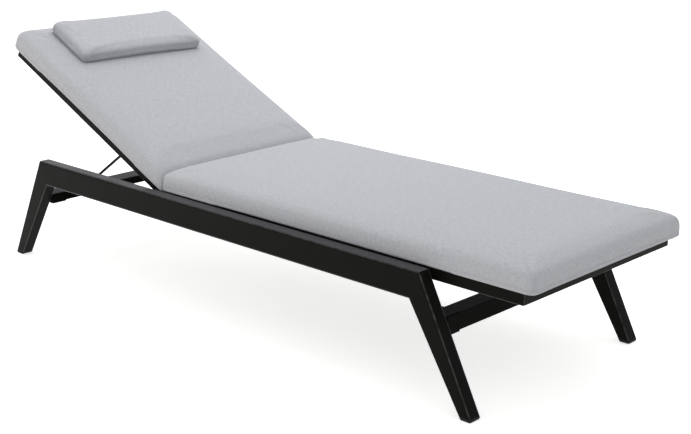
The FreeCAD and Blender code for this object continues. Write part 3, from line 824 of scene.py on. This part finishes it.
headPillow = makeCushion("headPillow", pillowSpec)
pillowMiddle = Matrix.Translation((0.0, (pillowLow[1] + pillowHigh[1]) / 2, 0.0))
pillowTurn = pillowMiddle @ Matrix.Rotation(pillowSpec["turn"], 4, "Z") @ pillowMiddle.inverted()
headPillow.data.transform(Matrix.Translation((pillowSpec["offset"], 0.0, 0.0)) @ pillowTurn)
layOn(headPillow, pillowSpec, pillowLow[2])
settle(headPillow, backPlace, pillowLow[2])
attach(headPillow, "backrest")
declare("head_pillow")

# the end of the back cushion that meets the seat cushion stays with it
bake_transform(backCushion)
print("cushions in place")


# Floor, light and camera

studio = {
    "white": (1.0, 1.0, 1.0, 1.0),
    "floorReach": 30.0,
    "floorColour": (0.88, 0.86, 0.83, 1.0),
    "floorRoughness": 0.9,
    "floorGlow": 0.62,
    "skyColour": (0.965, 0.98, 1.0, 1.0),
    "skyStrength": 0.70,
    "aim": (0.0, 0.0, 0.3),
    "softboxes": (                                # name, place, width and height, power, colour
        ("softboxAbove", (0.7, 0.7, 2.8), (3.0, 3.0), 33.0, (1.0, 1.0, 1.0)),
        ("softboxLeft", (-3.2, 1.5, 0.9), (3.0, 1.8), 17.0, (1.0, 0.95, 0.90)),
        ("softboxBehind", (3.0, 3.2, 1.5), (3.2, 1.8), 22.0, (1.0, 1.0, 1.0)),
    ),
}


def makeFloor():
    mesh = bpy.data.meshes.new("studioFloor")
    reach = studio["floorReach"]
    corners = [(-reach, -reach, 0), (reach, -reach, 0), (reach, reach, 0), (-reach, reach, 0)]
    mesh.from_pydata(corners, [], [(0, 1, 2, 3)])
    floor = bpy.data.objects.new("studioFloor", mesh)
    bpy.context.scene.collection.objects.link(floor)
    material, tree, shader = newMaterial("paleFloor")
    shader.inputs["Base Color"].default_value = studio["floorColour"]
    shader.inputs["Roughness"].default_value = studio["floorRoughness"]
    shader.inputs["Specular IOR Level"].default_value = 0.0
    glow = addNode(tree, "Emission", {"Color": studio["white"], "Strength": studio["floorGlow"]})
    both = addNode(tree, "AddShader", {0: shader.outputs[0], 1: glow.outputs[0]})
    path = addNode(tree, "LightPath")
    seen = calc(tree, "MAXIMUM", path.outputs["Is Camera Ray"], path.outputs["Is Glossy Ray"])
    seen = calc(tree, "MAXIMUM", seen, path.outputs["Is Transmission Ray"])
    mixed = addNode(tree, "MixShader", {0: seen, 1: shader.outputs[0], 2: both.outputs[0]})
    tree.links.new(mixed.outputs[0], tree.nodes["Material Output"].inputs["Surface"])
    mesh.materials.append(material)


def makeWorld():
    world = bpy.data.worlds.new("studioWorld")
    bpy.context.scene.world = world
    world.use_nodes = True
    tree = world.node_tree
    base = tree.nodes["Background"]
    base.inputs["Color"].default_value = studio["skyColour"]
    base.inputs["Strength"].default_value = studio["skyStrength"]
    white = tree.nodes.new("ShaderNodeBackground")
    white.inputs["Color"].default_value = studio["white"]
    white.inputs["Strength"].default_value = 1.0
    path = tree.nodes.new("ShaderNodeLightPath")
    mix = tree.nodes.new("ShaderNodeMixShader")
    tree.links.new(path.outputs["Is Camera Ray"], mix.inputs[0])
    tree.links.new(base.outputs[0], mix.inputs[1])
    tree.links.new(white.outputs[0], mix.inputs[2])
    tree.links.new(mix.outputs[0], tree.nodes["World Output"].inputs["Surface"])


def makeSoftbox(name, place, aim, size, power, colour):
    light = bpy.data.lights.new(name, "AREA")
    light.shape = "RECTANGLE"
    light.size = size[0]
    light.size_y = size[1]
    light.energy = power
    light.color = colour
    lamp = bpy.data.objects.new(name, light)
    bpy.context.scene.collection.objects.link(lamp)
    lamp.location = place
    lamp.rotation_euler = (Vector(aim) - Vector(place)).to_track_quat("-Z", "Y").to_euler()


makeFloor()
makeWorld()
for name, place, size, power, colour in studio["softboxes"]:
    makeSoftbox(name, place, studio["aim"], size, power, colour)

viewFrom = {
    "place": (-2.5224, -2.5312, 1.294),
    "yaw": math.radians(-46.372),
    "pitch": math.radians(-16.442),
    "lens": 69.2,
    "sensorWidth": 36.0,
    "clipStart": 0.05,
    "clipEnd": 200.0,
}


def makeCamera():
    data = bpy.data.cameras.new("photoCamera")
    data.lens = viewFrom["lens"]
    data.sensor_width = viewFrom["sensorWidth"]
    data.clip_start = viewFrom["clipStart"]
    data.clip_end = viewFrom["clipEnd"]
    camera = bpy.data.objects.new("photoCamera", data)
    bpy.context.scene.collection.objects.link(camera)
    camera.location = viewFrom["place"]
    camera.rotation_euler = (math.pi / 2 + viewFrom["pitch"], 0.0, viewFrom["yaw"])
    bpy.context.scene.camera = camera


makeCamera()
bpy.context.scene.view_settings.view_transform = "Standard"
print("stage set")
